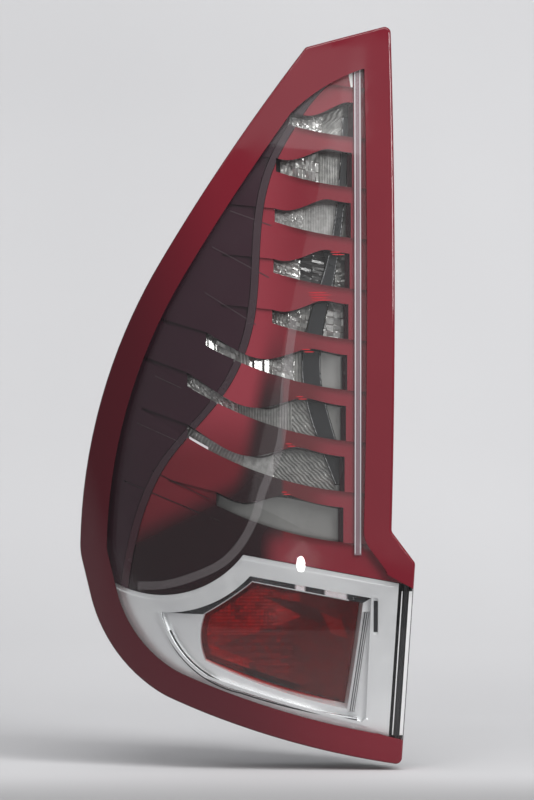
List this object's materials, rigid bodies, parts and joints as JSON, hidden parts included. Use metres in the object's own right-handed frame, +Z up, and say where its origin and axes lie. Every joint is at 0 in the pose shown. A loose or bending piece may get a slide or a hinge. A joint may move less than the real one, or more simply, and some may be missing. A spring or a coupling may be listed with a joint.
{
  "type": "tail light cluster",
  "caption": "Tall wrap-round car tail light: red-rimmed clear lens over a rib screen and chrome reflectors, fog lens in a silver bezel, bulb carrier, plug socket and fixing studs behind.",
  "frame": {"origin": "midway between the two fixing studs, on the seat plane where the lamp meets the car body", "axes": "+Z up the lamp, +X towards the middle of the car, +Y along the studs into the body; the lens faces -Y"},
  "size_m": [0.2128, 0.143, 0.4682],
  "materials": {
    "lens_red": "glossy moulded red",
    "lens_clear": "clear glossy",
    "screen_red": "glossy translucent red",
    "mask_dark": "glossy dark",
    "trim_grey": "satin grey",
    "bar_clear": "clear glossy",
    "chrome_plate": "vacuum metallised",
    "silver_satin": "satin silver",
    "fog_red": "glossy deep red",
    "housing_black": "moulded, fine grain",
    "seal_bead": "matt",
    "foam_grey": "closed-cell foam",
    "carrier_grey": "moulded",
    "copper_strip": "stamped",
    "bulb_glass": "clear blown",
    "bulb_brass": "drawn",
    "zinc_steel": "zinc plated"
  },
  "bodies": {
    "root": {"body_gasket": "foam_grey", "bulb_base_fog": "bulb_brass", "bulb_base_indicator": "bulb_brass", "bulb_base_reverse": "bulb_brass", "bulb_base_stop_tail": "bulb_brass", "bulb_carrier": "carrier_grey", "bulb_glass_fog": "bulb_glass", "bulb_glass_indicator": "bulb_glass", "bulb_glass_reverse": "bulb_glass", "bulb_glass_stop_tail": "bulb_glass", "carrier_gasket": "seal_bead", "carrier_latches": "zinc_steel", "connector_shroud": "housing_black", "connector_terminals": "copper_strip", "contact_strips": "copper_strip", "fixing_studs": "zinc_steel", "flute_bar": "chrome_plate", "fog_lens": "fog_red", "fog_reflector": "chrome_plate", "housing": "housing_black", "lens_clear_window": "lens_clear", "lens_red_rim": "lens_red", "lens_seal": "seal_bead", "light_bar": "bar_clear", "locating_pins": "housing_black", "reflector": "chrome_plate", "reflector_rib": "mask_dark", "reflector_screws": "zinc_steel", "rib_screen": "screen_red", "screen_trim": "trim_grey", "side_mask": "mask_dark", "silver_bezel": "silver_satin", "vent_caps": "seal_bead"}
  },
  "joints": []
}
